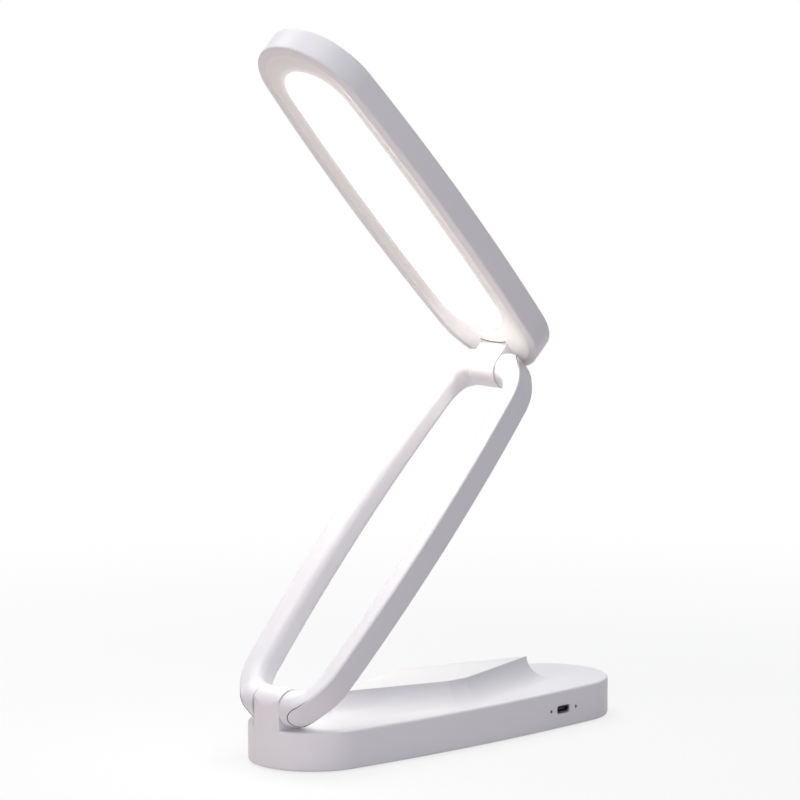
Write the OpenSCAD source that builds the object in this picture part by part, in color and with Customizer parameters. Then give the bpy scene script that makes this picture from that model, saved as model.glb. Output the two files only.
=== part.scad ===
// Folding desk lamp: a long base, an open ring arm and a light head, joined by two pin hinges.
// Origin: middle of the rubber mat's underside. +Z is up and the arm's hinge is at the -X end.

/* [Plan outlines] */
// Length of the base
base_len = 182; // [178:1:190]
// Length of the arm ring and of the head
arm_len = 186; // [180:1:192]
// Width of all three bodies at mid-length
body_wid = 58; // [54:1:64]
// How much each side draws in from mid-length to where its round end starts
side_bow = 3; // [2:0.5:4]

/* [Base] */
// Height of the base's side wall
base_h = 15.6; // [15:0.2:18]
// Thickness of the base's wall
base_wall = 1.8; // [1.4:0.2:2.2]
// Thickness of the base's top
top_t = 2; // [1.6:0.2:2.4]
// Thickness of the bottom cover
cover_t = 1.8; // [1.4:0.2:2.2]
// How far the rubber mat stands out below the base
mat_proud = 0.6; // [0.4:0.1:1]
// Length of the rubber mat
mat_len = 116; // [90:1:124]
// Width of the rubber mat
mat_wid = 34; // [24:1:36]
// Height of the raised island above the base's rim, and radius of the cove round it
isl_h = 9.4; // [9:0.2:10]
// Half-width of the island's flat top at mid-length
isl_half = 15; // [14:0.5:16]
// Half-length of the island's straight middle edge
isl_flat = 5; // [3:0.5:8]
// Distance from the base's end to the middle of the round scoop
scoop_in = 14.5; // [12:0.5:16]
// Radius of the scoop's flat floor
scoop_r = 13; // [11:0.5:14]
// Radius of the shallow touch dish
dish_r = 9; // [7:0.5:11]
// Depth of the shallow touch dish
dish_depth = 0.7; // [0.4:0.1:1]

/* [Arm ring] */
// Width of the ring's legs
leg_wid = 9.2; // [8.4:0.2:10]
// Thickness of the ring
arm_t = 12; // [11:0.5:13]
// Wall of the ring's two shells
arm_wall = 1.6; // [1.2:0.1:1.8]
// Rounding of the ring's inner edges
leg_round = 3; // [2:0.25:3.5]
// Small rounding of outer edges
edge_r = 0.9; // [0.5:0.1:1.2]
// Distance from each pivot to the ring's end
ring_end = 8; // [7.5:0.1:8.5]

/* [Hinges] */
// Height of the lower pivot above the base's rim
pivot_rise = 8.4; // [8:0.2:9.5]
// Radius of both hinge knuckles
knuckle_r = 7.3; // [7:0.1:7.5]
// Width of both hinge knuckles
knuckle_wid = 14.7; // [12:0.1:16]
// Radius of the ring's rounded lobes about the pivots
lobe_r = 7.1; // [6.6:0.1:7.3]
// Outer radius of the hollow hinge pins
pin_r = 2.2; // [1.8:0.1:2.5]
// Bore radius of the hollow hinge pins
pin_bore_r = 1.3; // [1:0.1:1.5]
// Length of the hinge pins
pin_len = 27; // [25:0.5:28]
// Running clearance of the pins in the knuckles, on the radius
pin_gap = 0.05; // [0.02:0.01:0.09]
// Thickness of the friction washers
washer_t = 0.3; // [0.2:0.1:0.8]
// Radius of the friction washers
washer_r = 6.6; // [5:0.1:6.6]
// Gap between a knuckle and its washers
side_gap = 0.3; // [0.3:0.05:0.5]

/* [Pose] */
// Angle of the ring above the base
arm_angle = 46.2; // [40:1:50]
// Direction of the head above the base
head_angle = 133.2; // [128:1:138]

/* [Head] */
// Distance from the upper pivot to the head's light face
head_off = 7.9; // [7.8:0.1:8.4]
// Thickness of the head
head_t = 11; // [10.5:0.5:13]
// Side wall of the head
head_wall = 1.8; // [1.4:0.2:2.2]
// Back wall of the head
back_t = 1.6; // [1.4:0.1:2]
// Width of the head's flat rim
rim_wid = 4.2; // [3.6:0.2:4.6]
// Width of the raised line round the bezel
ridge_wid = 0.8; // [0.6:0.1:1.2]
// Height of the raised line above the rim
ridge_h = 0.25; // [0.15:0.05:0.3]
// Depth of the bezel's surface below the rim
bezel_drop = 0.5; // [0.3:0.1:0.7]
// Thickness of the bezel plate
bezel_t = 1.2; // [1:0.1:1.4]
// Width of the bezel's slope round the window
slope_wid = 4; // [2:0.5:4.5]
// Fall of the bezel's slope
slope_drop = 0.6; // [0.3:0.1:0.8]
// Distance from the window to the head's far end
win_end = 13.5; // [12:0.5:18]
// Distance from the upper pivot to the window's near end
win_start = 14; // [13:0.5:16]
// Width of the light window at mid-length
win_wid = 37.4; // [34:0.2:38]
// How much each side of the window draws in towards its ends
win_bow = 1.9; // [1:0.1:2.5]
// Thickness of the diffuser
diff_t = 1.6; // [1.2:0.1:2]

/* [Electrics] */
// Distance of the charging socket from mid-length
port_x = 48.3; // [46:0.1:50]
// Height of the charging socket above the wall's lower edge
port_rise = 7.7; // [7.2:0.1:8.2]
// Width of the socket's slot in the wall
port_wid = 8; // [7.8:0.1:8.6]
// Height of the socket's slot in the wall
port_high = 3.4; // [3.2:0.1:3.8]
// Distance of each indicator from the socket
lamp_dx = 7.6; // [7:0.1:8]
// Radius of the indicators
lamp_r = 0.65; // [0.5:0.05:0.8]
// Radius of the battery cell
cell_r = 9.15; // [8.9:0.05:9.15]
// Length of the battery cell
cell_len = 65; // [60:1:65]
// Thickness of the circuit boards
board_t = 1.6; // [1:0.1:1.6]
// Number of light chips in a row
led_count = 14; // [8:1:18]
// Radius of the leads
lead_r = 0.7; // [0.4:0.05:0.8]

/* [Hidden] */

$fn = 64;
white = "#e8e7ee";
grey = "#8f9098";
steel = "#b9bcc2";
fit = 0.15;          // slack between parts that drop into each other
lobe_end = 12;       // from the middle plane to where the ring's bosses start to draw in
skin = 0.01;         // how far a cut runs past a face that it leaves
cove_dip = 0.03;     // how far the island's coves dip below the rim's level
end_swell = 0.01;    // how far round ends stand out of the side arcs that trim them
reach = 1000;        // length of a section that runs on to its axis
join = 0.4;          // how far pieces of one solid reach into each other

half = body_wid / 2;
end_r = half - side_bow;
win_len = arm_len - ring_end - win_start - win_end;
win_r = win_wid / 2 - win_bow;
rim_z = mat_proud + base_h;
isl_z = rim_z + isl_h;
roof_z = rim_z - top_t;
cover_z = mat_proud + cover_t;
pivot_x = knuckle_r - base_len / 2;
pivot_z = rim_z + pivot_rise;
pivot_span = arm_len - 2 * ring_end;
head_z = -head_off;
head_back = head_z - head_t;
lobe_y = knuckle_wid / 2 + side_gap + washer_t;
pin_half = pin_len / 2;
bore_r = pin_r + pin_gap;
scoop_x = base_len / 2 - scoop_in;
cove_r = isl_h + cove_dip;
isl_len = scoop_x - scoop_r - isl_h;
isl_slope = atan2(isl_half, isl_len - isl_flat);
cell_z = cover_z + 0.8 + cell_r;
cell_slack = 0.4;
port_z = mat_proud + port_rise;
socket_wid = 7.5;
socket_high = 2.7;
socket_deep = 6;
board_z = port_z - socket_high / 2;
screw_r = 1.5;
screw_head_r = 2.7;
screw_head_h = 1.6;
small_r = 0.8;
small_head_r = 1.5;
small_head_h = 1.1;
boss_r = 3.4;
post_r = 1.9;

// Radius of the long, slightly bowed side of an outline
function bow_r(len, wid, r) =
    (pow(len / 2 - r, 2) + pow(wid / 2, 2) - r * r) / (wid - 2 * r);
// Half the angle that a round end spans before the side takes over
function end_angle(len, wid, r) = atan2(bow_r(len, wid, r) - wid / 2, len / 2 - r);
// Distance from the middle at which an outline's side meets its round end
function end_x(len, wid, r, inset) = len / 2 - r + (r - inset) * cos(end_angle(len, wid, r));
// Half-width of an outline at distance x from its middle, on the long side
function side_y(x, len, wid, r) =
    wid / 2 - bow_r(len, wid, r) + sqrt(pow(bow_r(len, wid, r), 2) - x * x);

// Outline with round ends and slightly bowed sides, drawn in by inset all round
module outline(len, wid, r, inset = 0) {
    big = bow_r(len, wid, r);
    cut_x = end_x(len, wid, r, inset);
    intersection() {
        translate([0, wid / 2 - big])
            circle(big - inset, $fn = 1080);
        translate([0, big - wid / 2])
            circle(big - inset, $fn = 1080);
        union() {
            for (side = [-1, 1])
                translate([side * (len / 2 - r), 0])
                    circle(r - inset + end_swell, $fn = 128);
            square([2 * cut_x, 2 * wid], center = true);
        }
    }
}

// Points of an arc about c, from angle a0 to a1, in the given number of steps
function arc_points(c, r, a0, a1, steps) =
    [for (i = [0 : steps]) c + r * [cos(a0 + (a1 - a0) * i / steps), sin(a0 + (a1 - a0) * i / steps)]];

// Section of a body of height h whose two outer edges are rounded by radius r
module edge_section(h, r, steps) polygon(concat(
    arc_points([r, r], r, 270, 180, steps),
    arc_points([r, h - r], r, 180, 90, steps),
    [[reach, h], [reach, 0]]));

// Turns a section about the Z axis: x runs inward from radius r, and what passes the axis is cut off
module turned(r) rotate_extrude()
    intersection() {
        translate([r, 0])
            mirror([1, 0])
                children();
        translate([0, -body_wid])
            square([r + body_wid, 2 * body_wid]);
    }

// Solid of the same plan as outline(), with the given section at its edge: x runs inward from there
module block(len, wid, r, inset = 0) {
    big = bow_r(len, wid, r);
    cut_x = end_x(len, wid, r, inset);
    intersection() {
        translate([0, wid / 2 - big])
            turned(big - inset, $fn = 1080)
                children();
        translate([0, big - wid / 2])
            turned(big - inset, $fn = 1080)
                children();
        union() {
            for (side = [-1, 1])
                translate([side * (len / 2 - r), 0])
                    turned(r - inset + end_swell, $fn = 128)
                        children();
            cube([2 * cut_x, 2 * wid, 4 * body_wid], center = true);
        }
    }
}

// Sweeps a profile along an outline: the profile's x runs inward from the outline's edge
module sweep(len, wid, r) {
    big = bow_r(len, wid, r);
    turn = end_angle(len, wid, r);
    for (side = [0, 180])
        rotate(side) {
            translate([len / 2 - r, 0])
                rotate(-turn)
                    rotate_extrude(angle = 2 * turn, $fn = 128)
                        translate([r, 0])
                            mirror([1, 0])
                                children();
            translate([0, wid / 2 - big])
                rotate(turn)
                    rotate_extrude(angle = 180 - 2 * turn, $fn = 1080)
                        translate([big, 0])
                            mirror([1, 0])
                                children();
        }
}

module base_outline(inset = 0) outline(base_len, body_wid, end_r, inset);
module arm_outline(inset = 0) outline(arm_len, body_wid, end_r, inset);
module win_outline(inset = 0) outline(win_len, win_wid, win_r, inset);
module plate(z0, z1) translate([0, 0, z0]) linear_extrude(z1 - z0) children();

// Cylinder along Y, from y0 to y1
module rod_y(r, y0, y1) translate([0, y1, 0]) rotate([90, 0, 0]) cylinder(h = y1 - y0, r = r);
// Tube along Y, from y0 to y1
module tube_y(r, bore, y0, y1) difference() {
    rod_y(r, y0, y1);
    rod_y(bore, y0 - 1, y1 + 1);
}

// Round wire through a list of points: no stretch of it runs along the side vector
wire_sides = 8;
function wire_way(p, i) = let (a = p[max(i - 1, 0)], b = p[min(i + 1, len(p) - 1)]) (b - a) / norm(b - a);
function wire_ring(p, i, r, side) =
    let (way = wire_way(p, i), u = cross(way, side) / norm(cross(way, side)), v = cross(way, u))
    [for (k = [0 : wire_sides - 1])
        p[i] + r * (cos(k * 360 / wire_sides) * u + sin(k * 360 / wire_sides) * v)];
module wire(points, r, side) {
    n = len(points);
    polyhedron(
        points = [for (i = [0 : n - 1]) each wire_ring(points, i, r, side)],
        faces = concat(
            [[for (k = [0 : wire_sides - 1]) k]],
            [for (i = [0 : n - 2], k = [0 : wire_sides - 1])
                let (next = (k + 1) % wire_sides, a = i * wire_sides, b = a + wire_sides)
                [a + k, b + k, b + next, a + next]],
            [[for (k = [wire_sides - 1 : -1 : 0]) (n - 1) * wire_sides + k]]));
}

// Screw with its head's outer face at the origin, pointing up
module screw(r, len, head_r, head_h) difference() {
    union() {
        cylinder(h = head_h, r = head_r);
        cylinder(h = len, r = r);
    }
    for (turn = [0, 90])
        rotate(turn)
            translate([0, 0, head_h / 4 - 0.5])
                cube([head_r * 1.3, head_r * 0.35, head_h / 2 + 1], center = true);
}

module place_arm() translate([pivot_x, 0, pivot_z]) rotate([0, -arm_angle, 0]) children();
module place_top() place_arm() translate([pivot_span, 0, 0]) children();
module place_head() place_top() rotate([0, arm_angle - head_angle, 0]) children();
// From a pivot to the middle of the ring or head
module to_mid() translate([arm_len / 2 - ring_end, 0, 0]) children();

// ---- Base ----

screw_in = 18;       // from the base's ends to its cover screws
base_screw_at = [for (x = [-1, 1], y = [-1, 1]) [x * (base_len / 2 - screw_in), y * (half - 12)]];
board_front = 5;     // from the board's edges to the base's sides at mid-length
board_rear = 12;
board_at = [port_x + 1, (board_front - board_rear) / 2];
board_size = [26, body_wid - board_front - board_rear];
board_screw_at = [for (side = [-1, 1]) board_at + [7, side * (board_size.y / 2 - 6.5)]];
ballast_gap = 4;     // from the ballast to the screw posts and to the cell
ballast_side = 9;    // from the ballast to the base's sides at mid-length
ballast_h = 7;

// Block round the island, before its coves are cut: its outline is one cove radius bigger
module island_block() {
    tip = isl_len + isl_h / sin(isl_slope);
    flat = isl_flat + isl_h * tan(isl_slope / 2);
    wide = isl_half + isl_h;
    plate(roof_z, isl_z)
        polygon([[tip, 0], [flat, wide], [-flat, wide], [-tip, 0], [-flat, -wide], [flat, -wide]]);
}

// Coves: a long cylinder beside each of the island's six edges
module coves() {
    for (x = [0, 1], y = [0, 1])
        mirror([x, 0, 0])
            mirror([0, y, 0]) {
                translate([isl_flat, isl_half, isl_z])
                    rotate(-isl_slope)
                        translate([0, isl_h, 0])
                            rotate([0, -90, 0])
                                cylinder(h = 2 * base_len, r = cove_r, center = true, $fn = 96);
            }
    for (y = [-1, 1])
        translate([0, y * (isl_half + isl_h), isl_z])
            rotate([0, -90, 0])
                cylinder(h = 2 * base_len, r = cove_r, center = true, $fn = 96);
}

// Round scoop that ends the island at each end of the base
module scoops() {
    for (turn = [0, 180])
        rotate(turn)
            translate([scoop_x, 0, 0])
                rotate_extrude($fn = 96)
                    intersection() {
                        union() {
                            translate([0, isl_z - cove_r])
                                square([scoop_r, isl_h * 2]);
                            translate([scoop_r, isl_z])
                                circle(cove_r, $fn = 96);
                        }
                        square([scoop_r + cove_r, isl_z + isl_h]);
                    }
}

module island() difference() {
    island_block();
    coves();
    scoops();
}

// Knuckle that carries the lower pin, flush with the base's end
module lower_knuckle() intersection() {
    plate(roof_z, pivot_z + 2 * knuckle_r)
        base_outline();
    union() {
        translate([pivot_x - knuckle_r, -knuckle_wid / 2, roof_z])
            cube([2 * knuckle_r, knuckle_wid, pivot_z - roof_z]);
        translate([pivot_x, 0, pivot_z])
            rod_y(knuckle_r, -knuckle_wid / 2, knuckle_wid / 2);
    }
}

// Hollow under the island: a flat-topped hexagon, and a round trough for the cell
module island_hollow() {
    thin = top_t / cos(isl_slope);
    tip = isl_len - top_t / sin(isl_slope);
    plate(roof_z - skin, isl_z - top_t)
        polygon([[tip, 0], [isl_flat, isl_half - thin], [-isl_flat, isl_half - thin], [-tip, 0],
            [-isl_flat, thin - isl_half], [isl_flat, thin - isl_half]]);
    translate([0, 0, cell_z])
        rotate([0, 90, 0])
            cylinder(h = cell_len + 2, r = cell_r + cell_slack, center = true);
}

// Slot with round corners through the front wall
module port_slot(wid, high, r, y0, y1) {
    translate([port_x, y1, port_z])
        rotate([90, 0, 0])
            linear_extrude(y1 - y0) {
                square([wid - 2 * r, high], center = true);
                square([wid, high - 2 * r], center = true);
                for (x = [-1, 1], z = [-1, 1])
                    translate([x * (wid / 2 - r), z * (high / 2 - r)])
                        circle(r, $fn = 32);
            }
}

module base_shell() color(white) difference() {
    union() {
        difference() {
            block(base_len, body_wid, end_r)
                translate([0, mat_proud])
                    edge_section(base_h, edge_r, 3);
            plate(0, roof_z)
                base_outline(base_wall);
        }
        island();
        lower_knuckle();
        for (p = base_screw_at)
            translate([p.x, p.y, cover_z])
                cylinder(h = roof_z - cover_z + join, r = boss_r);
    }
    island_hollow();
    for (p = base_screw_at)
        translate([p.x, p.y, cover_z - skin])
            cylinder(h = 9, r = screw_r + 0.05);
    port_slot(port_wid, port_high, 0.9, -half - 1, -half + 6);
    for (side = [-1, 1])
        translate([port_x + side * lamp_dx, -half - 1, port_z])
            rod_y(lamp_r + 0.05, 0, 6);
    translate([pivot_x, 0, pivot_z])
        rod_y(bore_r, -knuckle_wid, knuckle_wid);
    translate([pivot_x, 0, roof_z - 1])
        cylinder(h = pivot_z - roof_z, r = pin_bore_r);
    intersection() {
        translate([scoop_x, 0, rim_z - dish_depth + dish_ball])
            sphere(dish_ball, $fn = 200);
        translate([scoop_x, 0, roof_z])
            cylinder(h = top_t + 1, r = scoop_r - 1);
    }
}
dish_ball = (dish_r * dish_r + dish_depth * dish_depth) / (2 * dish_depth);

module base_cover() color(white) difference() {
    union() {
        plate(mat_proud, cover_z)
            base_outline(base_wall + fit);
        for (x = [-1, 1])
            translate([x * cell_len / 3 - 1, -7, cover_z - join])
                cube([2, 14, 3]);
        for (p = board_screw_at)
            translate([p.x, p.y, cover_z - join])
                cylinder(h = board_z - board_t - cover_z + join, r = 2.4);
    }
    translate([0, 0, cell_z])
        rotate([0, 90, 0])
            cylinder(h = cell_len + 2, r = cell_r + 0.05, center = true);
    plate(mat_proud - 1, mat_proud + 0.6)
        mat_outline(fit);
    for (p = base_screw_at)
        translate([p.x, p.y, mat_proud - skin]) {
            cylinder(h = screw_head_h / 2 + skin, r = screw_head_r + fit);
            cylinder(h = 4, r = screw_r + fit);
        }
    for (p = board_screw_at)
        translate([p.x, p.y, cover_z])
            cylinder(h = 9, r = small_r + 0.05);
}

module mat_outline(grow = 0) {
    square([mat_len - mat_wid, mat_wid + 2 * grow], center = true);
    for (side = [-1, 1])
        translate([side * (mat_len - mat_wid) / 2, 0])
            circle(mat_wid / 2 + grow, $fn = 96);
}
module base_mat() color("#3a3a3e") plate(0, mat_proud + 0.6) mat_outline();

module base_screws() color(steel)
    for (p = base_screw_at)
        translate([p.x, p.y, mat_proud + 0.05])
            screw(screw_r, 9, screw_head_r, screw_head_h / 2 - 0.05);

module ballast_plate() color(grey)
    translate([screw_in + boss_r + ballast_gap - base_len / 2, ballast_side - half, cover_z])
        cube([(base_len - cell_len) / 2 - screw_in - boss_r - 2 * ballast_gap,
            body_wid - 2 * ballast_side, ballast_h]);

module battery_cell() color("#4a7fb0")
    translate([0, 0, cell_z])
        rotate([0, 90, 0])
            cylinder(h = cell_len, r = cell_r, center = true);

module battery_tabs() color(steel)
    for (side = [-1, 1])
        translate([side * (cell_len / 2 + 0.15), 0, cell_z])
            rotate([0, 90, 0])
                cylinder(h = 0.3, r = 4, center = true);

module control_board() color("#2f6b45") difference() {
    plate(board_z - board_t, board_z)
        translate(board_at)
            square(board_size, center = true);
    for (p = board_screw_at)
        translate([p.x, p.y, 0])
            cylinder(h = 20, r = small_r + fit);
}

module board_screws() color(steel)
    for (p = board_screw_at)
        translate([p.x, p.y, board_z + small_head_h])
            mirror([0, 0, 1])
                screw(small_r, 5, small_head_r, small_head_h);

socket_y = -side_y(port_x, base_len, body_wid, end_r) + 0.8;
module usb_socket() color(steel) difference() {
    translate([port_x - socket_wid / 2, socket_y, board_z])
        cube([socket_wid, socket_deep, socket_high]);
    translate([port_x - socket_wid / 2 + 0.4, socket_y - skin, board_z + 0.4])
        cube([socket_wid - 0.8, socket_deep - 0.6 + skin, socket_high - 0.8]);
}
module usb_tongue() color("#26262a")
    translate([port_x - 2.4, socket_y + 0.8, board_z + 1.2])
        cube([4.8, socket_deep - 1.4, 0.6]);

module charge_lights() color("#e6efe6")
    for (side = [-1, 1]) {
        x = port_x + side * lamp_dx;
        translate([x, 0, port_z])
            rod_y(lamp_r, 0.15 - side_y(x, base_len, body_wid, end_r), board_at.y - board_size.y / 2 + 2);
    }

module touch_plate() color("#c08a52")
    translate([scoop_x, 0, roof_z - 0.4])
        cylinder(h = 0.4, r = 7);
module touch_spring() color(steel)
    translate([scoop_x, 0, cover_z]) difference() {
        cylinder(h = roof_z - 0.4 - cover_z, r = 2.4);
        translate([0, 0, -1])
            cylinder(h = roof_z, r = 1.9);
    }

base_lead_path = [[38.5, 12, 9], [30, 13, 8.6], [-20, 13, 12], [-34, 13, 12], [-58, 8, 12],
    [-74, 0, 12], [pivot_x, 0, 12.6], [pivot_x, 0, pivot_z - bore_r - 0.5]];
module base_lead() color("#a33a35") wire(base_lead_path, lead_r, [0, 1, 0]);

// ---- Hinges ----

module hinge_pin() difference() {
    tube_y(pin_r, pin_bore_r, -pin_half, pin_half);
    for (side = [0, 180])
        rotate([0, side, 0])
            cylinder(h = knuckle_r, r = pin_bore_r * 0.9);
}
module washer_pair() for (side = [0, 180])
    rotate(side)
        tube_y(washer_r, pin_r + pin_gap, lobe_y - washer_t, lobe_y);

module lower_pin() color(steel) place_arm() hinge_pin();
module upper_pin() color(steel) place_top() hinge_pin();
module lower_washers() color(grey) place_arm() washer_pair();
module upper_washers() color(grey) place_top() washer_pair();

// ---- Arm ring ----

arm_screw_x = arm_len / 2 - 38;
arm_screw_at = [for (x = [-arm_screw_x, 0, arm_screw_x], side = [-1, 1])
    [x, side * (side_y(x, arm_len, body_wid, end_r) - leg_wid + arm_wall + post_r + 0.2)]];

// Section of the ring's hole, widening to its two rims in curves of radius leg_round
module hole_section() polygon(concat(
    [[reach, -arm_t], [-leg_round, -arm_t]],
    arc_points([-leg_round, leg_round - arm_t / 2], leg_round, -90, 0, 5),
    arc_points([-leg_round, arm_t / 2 - leg_round], leg_round, 0, 90, 5),
    [[-leg_round, arm_t], [reach, arm_t]]));

// Bosses round a pivot, solid from the slot outward, drawn in where they run into the legs
module pivot_boss() intersection() {
    for (side = [-90, 90])
        rotate([side, 0, 0])
            rotate_extrude()
                polygon([[0, lobe_y], [lobe_r - 0.02, lobe_y], [lobe_r - 0.02, lobe_end],
                    [arm_t / 2 - 0.1, pin_half + 2], [0, pin_half + 2]]);
    to_mid()
        linear_extrude(2 * arm_t, center = true)
            arm_outline(0.3);
}

// The whole ring, hollow, with both hinge slots cut
module ring() difference() {
    union() {
        to_mid()
            difference() {
                block(arm_len, body_wid, end_r)
                    translate([0, -arm_t / 2])
                        edge_section(arm_t, edge_r, 3);
                block(arm_len, body_wid, end_r, leg_wid)
                    hole_section();
                plate(arm_wall - arm_t / 2, arm_t / 2 - arm_wall)
                    difference() {
                        arm_outline(arm_wall);
                        arm_outline(leg_wid - arm_wall);
                    }
            }
        pivot_boss();
        translate([pivot_span, 0, 0])
            pivot_boss();
        to_mid()
            for (p = arm_screw_at)
                translate([p.x, p.y, -arm_t / 2 + arm_wall - join])
                    cylinder(h = arm_t - 2 * arm_wall + 2 * join, r = post_r);
    }
    for (end = [0, 1])
        translate([end * pivot_span, 0, 0])
            mirror([end, 0, 0]) {
                translate([-ring_end - 1, -lobe_y, -arm_t])
                    cube([ring_end + arm_t + 1, 2 * lobe_y, 2 * arm_t]);
                difference() {
                    translate([-ring_end - 1, -half, -arm_t])
                        cube([ring_end + 1, body_wid, 2 * arm_t]);
                    rod_y(lobe_r, -half - 1, half + 1);
                }
                rod_y(pin_r + 0.02, -pin_half, pin_half);
                rod_y(pin_bore_r, -pin_half - 4, pin_half + 4);
            }
    to_mid()
        for (p = arm_screw_at)
            translate([p.x, p.y, -arm_t / 2 - skin]) {
                cylinder(h = arm_t - 2, r = small_r + 0.05);
                cylinder(h = small_head_h + 0.1, r = small_head_r + fit);
            }
}

// Quarter of the ring: its front (-1) or rear (1) leg, above (1) or below (-1) the pivots' plane
module leg_half(side, level) place_arm() intersection() {
    ring();
    translate([-arm_len, min(side, 0) * arm_len, min(level, 0) * arm_t])
        cube([3 * arm_len, arm_len, arm_t]);
}
module front_leg_upper() color(white) leg_half(-1, 1);
module front_leg_lower() color(white) leg_half(-1, -1);
module rear_leg_upper() color(white) leg_half(1, 1);
module rear_leg_lower() color(white) leg_half(1, -1);
module arm_screws() color(steel) place_arm() to_mid()
    for (p = arm_screw_at)
        translate([p.x, p.y, 0.05 - arm_t / 2])
            screw(small_r, 8, small_head_r, small_head_h);

lead_in = arm_wall + lead_r + 0.15;
lead_turn = 24;      // from a pivot to where the lead starts to follow the leg
function leg_lead(s) = [s, side_y(s - arm_len / 2 + ring_end, arm_len, body_wid, end_r) - lead_in, 0];
arm_lead_path = concat([[0, pin_half + 0.4, 0], [0.8, pin_half + 3, 0], [9, 20.8, 0]],
    [for (i = [0 : 6]) leg_lead(lead_turn + i * (pivot_span - 2 * lead_turn) / 6)],
    [[pivot_span - 9, 20.8, 0], [pivot_span - 0.8, pin_half + 3, 0], [pivot_span, pin_half + 0.4, 0]]);
module arm_lead() color("#a33a35") place_arm() wire(arm_lead_path, lead_r, [0, 0, 1]);

// ---- Head ----

bezel_top = head_z - bezel_drop;
bezel_low = bezel_top - bezel_t;
tray_top = bezel_low - diff_t;
ledge_wid = rim_wid + 1.8;
board_low = head_back + back_t;
win_mid = win_start + win_len / 2;
head_end = arm_len - ring_end;
post_ring = end_r - ledge_wid - post_r - 0.25;
head_screw_at = [for (side = [-1, 1], at = [[end_r - ring_end, 180 - 49], [head_end - end_r, 27]])
    [at[0] + post_ring * cos(at[1]), side * post_ring * sin(at[1])]];
module to_win() translate([win_mid, 0, 0]) children();

// Knuckle and neck that carry the head on the upper pin
module neck() intersection() {
    union() {
        rod_y(knuckle_r, -knuckle_wid / 2, knuckle_wid / 2);
        translate([-knuckle_r, -knuckle_wid / 2, board_low])
            cube([2 * knuckle_r, knuckle_wid, -board_low]);
    }
    to_mid()
        translate([0, 0, 2 * head_back])
            linear_extrude(-4 * head_back)
                arm_outline();
}

module head_shell() color(white) place_head() difference() {
    union() {
        to_mid()
            difference() {
                block(arm_len, body_wid, end_r)
                    translate([0, head_back])
                        edge_section(head_t, edge_r, 3);
                plate(board_low, tray_top)
                    arm_outline(head_wall);
                plate(tray_top - 1, bezel_low)
                    arm_outline(ledge_wid);
                plate(bezel_low, head_z + 1)
                    arm_outline(rim_wid);
            }
        neck();
        for (p = head_screw_at)
            translate([p.x, p.y, head_back])
                cylinder(h = 3.6, r = post_r + 0.8);
    }
    rod_y(bore_r, -knuckle_wid, knuckle_wid);
    translate([0, 0, head_back + back_t + 1.2])
        cylinder(h = -head_back - back_t - 1.2, r = pin_bore_r);
    translate([0, 0, head_back + back_t + 1.2 + pin_bore_r])
        rotate([0, 90, 0])
            cylinder(h = 3 * knuckle_r, r = pin_bore_r);
    for (p = head_screw_at)
        translate([p.x, p.y, head_back - skin]) {
            cylinder(h = 9, r = small_r + fit);
            cylinder(h = small_head_h + 0.1, r = small_head_r + fit);
        }
}

// Plate round the light window, with a raised line at its edge and a slope down to the window
module head_bezel() color(white) place_head() difference() {
    union() {
        difference() {
            to_mid()
                plate(bezel_low, head_z + ridge_h)
                    arm_outline(rim_wid + fit);
            to_mid()
                plate(bezel_top, head_z + 1)
                    arm_outline(rim_wid + fit + ridge_wid);
        }
        for (p = head_screw_at)
            translate([p.x, p.y, head_back + 3.6])
                cylinder(h = bezel_low + join - head_back - 3.6, r = post_r);
    }
    to_win() {
        plate(bezel_low - 1, bezel_top + 1)
            win_outline();
        block(win_len, win_wid, win_r, -slope_wid)
            translate([0, bezel_top])
                polygon([[0, 0], [slope_wid + 1, -slope_drop * (1 + 1 / slope_wid)], [reach, -slope_drop],
                    [reach, slope_wid], [0, slope_wid]]);
    }
    translate([-knuckle_r - 2, -knuckle_wid / 2 - fit, head_back])
        cube([2 * knuckle_r + 2 + fit, knuckle_wid + 2 * fit, -head_back]);
    for (p = head_screw_at)
        translate([p.x, p.y, head_back])
            cylinder(h = 8, r = small_r + 0.05);
}

module head_screws() color(steel) place_head()
    for (p = head_screw_at)
        translate([p.x, p.y, head_back + 0.05])
            screw(small_r, 7.4, small_head_r, small_head_h);

module diffuser() color("#fffdf6") place_head() to_win() {
    plate(bezel_low - diff_t, bezel_low)
        win_outline(-1.6);
    plate(bezel_low - join, bezel_low + 0.3)
        win_outline(fit);
}

module reflector_tray() color("#f4f4f4") place_head() to_win()
    sweep(win_len, win_wid, win_r)
        translate([0, board_low + board_t])
            polygon([[-1, tray_top - board_low - board_t], [0.4, tray_top - board_low - board_t],
                [5.4, 0], [4, 0]]);

module led_board() color("#dfe3e6") place_head() to_win()
    plate(board_low, board_low + board_t)
        win_outline(3);

led_margin = 18;     // from the window's ends to the first and last chip
led_step = (win_len - 2 * led_margin) / (led_count - 1);
module led_chips() color("#f3e9b0") place_head() to_win()
    for (i = [0 : led_count - 1], y = [-6, 6])
        translate([(i - (led_count - 1) / 2) * led_step, y, board_low + board_t + 0.4])
            cube([3.5, 2.8, 0.8], center = true);

head_lead_path = [[0, 0, -bore_r - 0.5], [0, 0, head_back + back_t + 1.2 + pin_bore_r],
    [10.5, 0, head_back + back_t + 1.2 + pin_bore_r], [win_start + 2.7, 0, board_low + board_t / 2 + 0.05]];
module head_lead() color("#a33a35") place_head() wire(head_lead_path, lead_r, [0, 1, 0]);

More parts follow.
